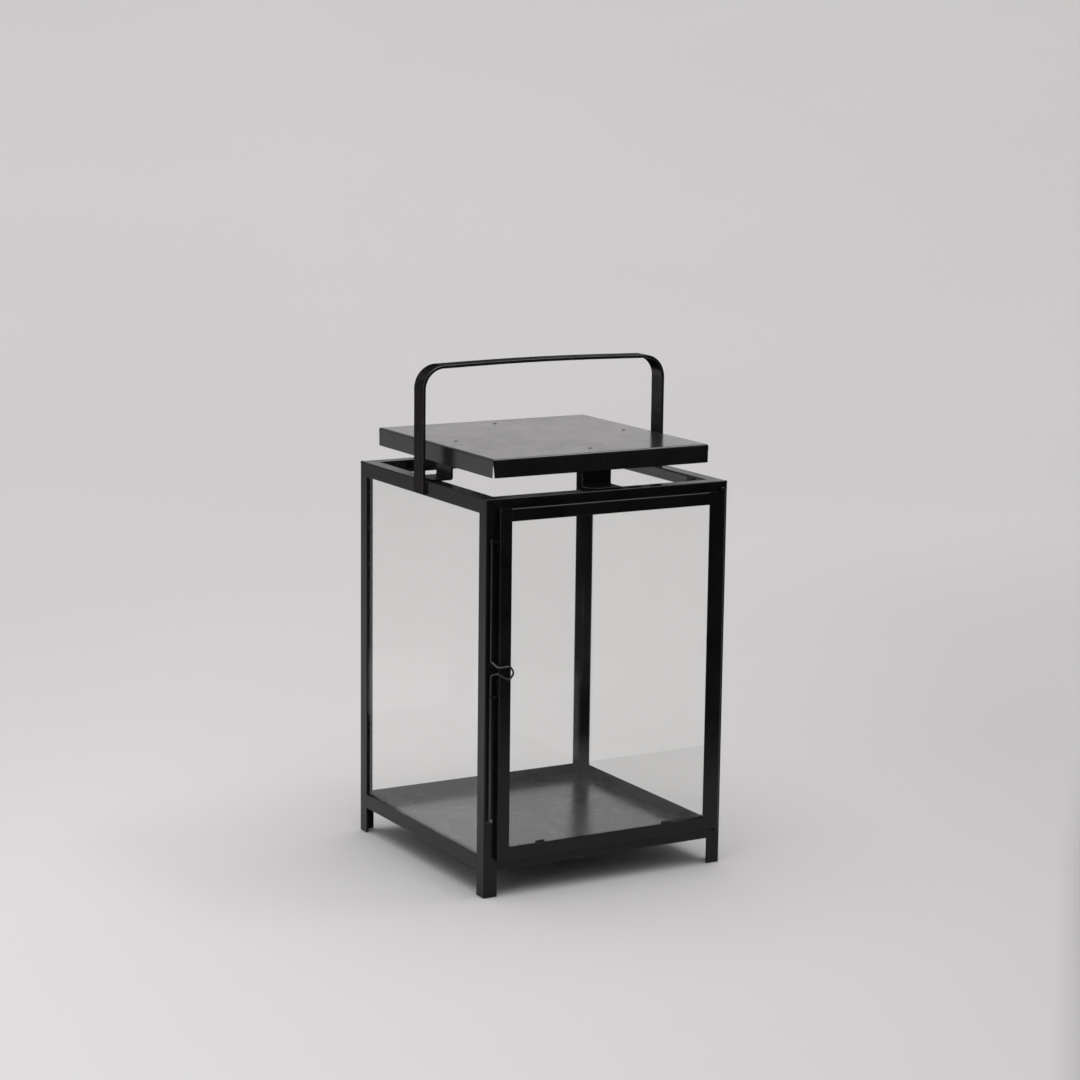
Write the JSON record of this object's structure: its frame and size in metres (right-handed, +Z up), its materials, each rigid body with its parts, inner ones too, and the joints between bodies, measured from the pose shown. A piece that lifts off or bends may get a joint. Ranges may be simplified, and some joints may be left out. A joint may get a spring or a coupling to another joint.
{
  "type": "candle lantern",
  "caption": "Square table lantern: black angle frame on short feet, glass sides, hinged glass door with a swivelling wire catch, raised roof plate and fixed strap handle",
  "frame": {"origin": "on the surface it stands on, under the middle of the overall box; the middle of the square case is 4 mm behind it, because the catch loop stands out in front", "axes": "+Z up; -Y is the door side, seen from the front; +X is to the right as seen from the front, where the door is hinged"},
  "size_m": [0.225, 0.228, 0.41],
  "materials": {
    "black_angle_coat": "satin black powder coat on rolled steel angle and strap",
    "black_sheet_coat": "satin black powder coat on folded steel sheet",
    "black_wire_coat": "black finish on drawn steel wire, worn a little smoother",
    "clear_glass": "clear polished flat glass with a very slight green tint"
  },
  "bodies": {
    "frame": {"post_front_left": "black_angle_coat", "post_front_right": "black_angle_coat", "post_back_left": "black_angle_coat", "post_back_right": "black_angle_coat", "bottom_rail_front": "black_angle_coat", "bottom_rail_right": "black_angle_coat", "bottom_rail_back": "black_angle_coat", "bottom_rail_left": "black_angle_coat", "top_rail_front": "black_angle_coat", "top_rail_right": "black_angle_coat", "top_rail_back": "black_angle_coat", "top_rail_left": "black_angle_coat", "floor_tray": "black_sheet_coat", "glass_pane_left": "clear_glass", "glass_pane_right": "clear_glass", "glass_pane_back": "clear_glass", "glass_clips_left": "black_sheet_coat", "glass_clips_right": "black_sheet_coat", "glass_clips_back": "black_sheet_coat", "roof_plate": "black_sheet_coat", "roof_bracket_front": "black_sheet_coat", "roof_bracket_right": "black_sheet_coat", "roof_bracket_back": "black_sheet_coat", "roof_bracket_left": "black_sheet_coat", "roof_rivets": "black_wire_coat", "carry_handle": "black_angle_coat", "hinge_lug_upper": "black_angle_coat", "hinge_lug_lower": "black_angle_coat", "hinge_pin": "black_wire_coat"},
    "door": {"door_stile_left": "black_sheet_coat", "door_stile_right": "black_sheet_coat", "door_rail_top": "black_sheet_coat", "door_rail_bottom": "black_sheet_coat", "door_glass": "clear_glass", "door_glass_tabs": "black_sheet_coat", "catch_eyes": "black_sheet_coat"},
    "catch": {"catch_wire": "black_wire_coat"}
  },
  "joints": [
    {"name": "door_hinge", "type": "hinge", "parent": "frame", "child": "door", "pos_m": [0.1036, -0.1094, 0.17], "axis": [0, 0, 1], "range_deg": [0, 160]},
    {"name": "catch_swivel", "type": "hinge", "parent": "door", "child": "catch", "pos_m": [-0.1064, -0.1085, 0.174], "axis": [0, 0, 1], "range_deg": [-95, 0]}
  ]
}
